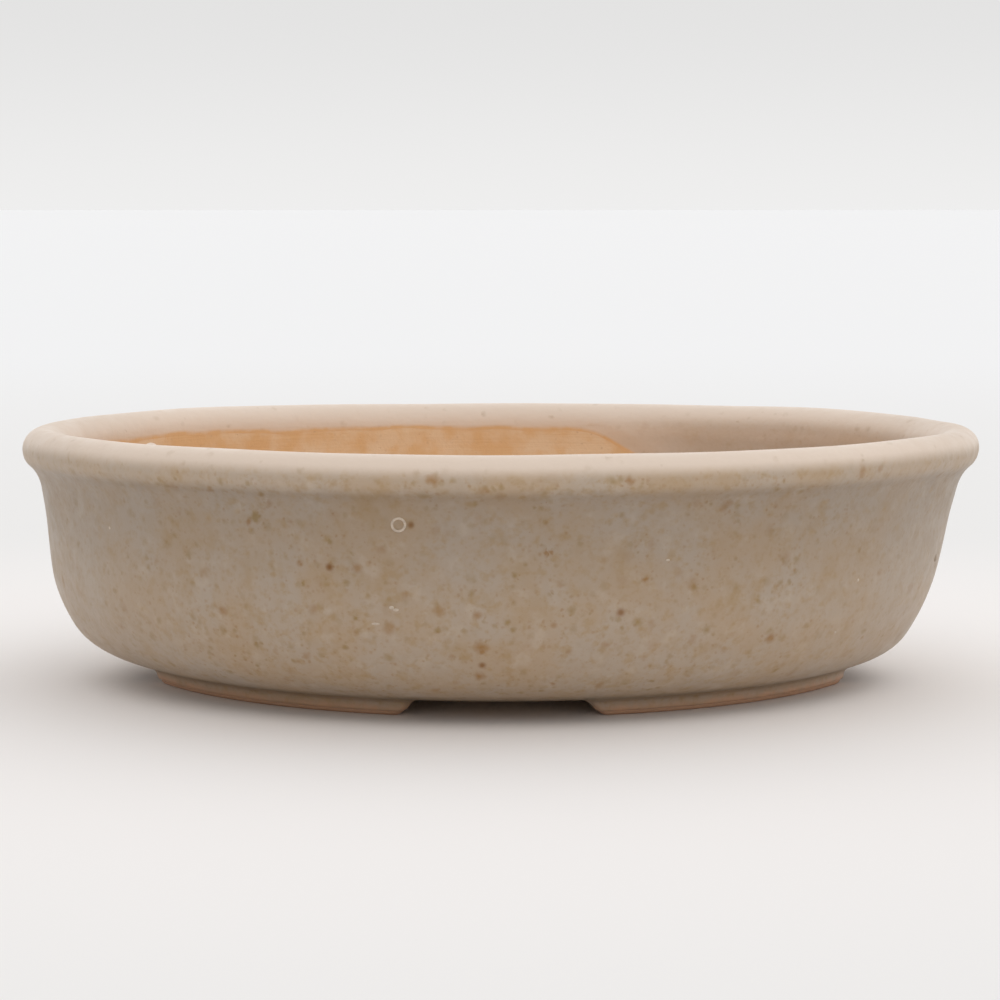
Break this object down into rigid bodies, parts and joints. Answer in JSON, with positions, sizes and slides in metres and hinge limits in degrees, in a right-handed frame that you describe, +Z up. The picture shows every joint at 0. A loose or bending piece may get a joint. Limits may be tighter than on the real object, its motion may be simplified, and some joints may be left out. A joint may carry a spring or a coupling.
{
  "type": "bonsai pot",
  "caption": "Shallow oval bonsai pot with a rolled lip, gently leaning wall, low bracket feet, drain and tie-wire holes, and a speckled glaze coat over bare clay.",
  "frame": {"origin": "centre of the footprint, on the surface the pot stands on", "axes": "+X along the length of the pot, -Y towards the front, +Z up"},
  "size_m": [0.12, 0.0984, 0.032],
  "materials": {
    "bare_clay": "matte, unglazed fired clay",
    "speckled_glaze": "satin speckled glaze"
  },
  "bodies": {
    "root": {"floor_slab": "bare_clay", "wall": "bare_clay", "rim_lip": "bare_clay", "foot_front_left": "bare_clay", "foot_front_right": "bare_clay", "foot_back_left": "bare_clay", "foot_back_right": "bare_clay", "body_glaze": "speckled_glaze", "rim_glaze": "speckled_glaze", "foot_glaze_front_left": "speckled_glaze", "foot_glaze_front_right": "speckled_glaze", "foot_glaze_back_left": "speckled_glaze", "foot_glaze_back_right": "speckled_glaze"}
  },
  "joints": []
}
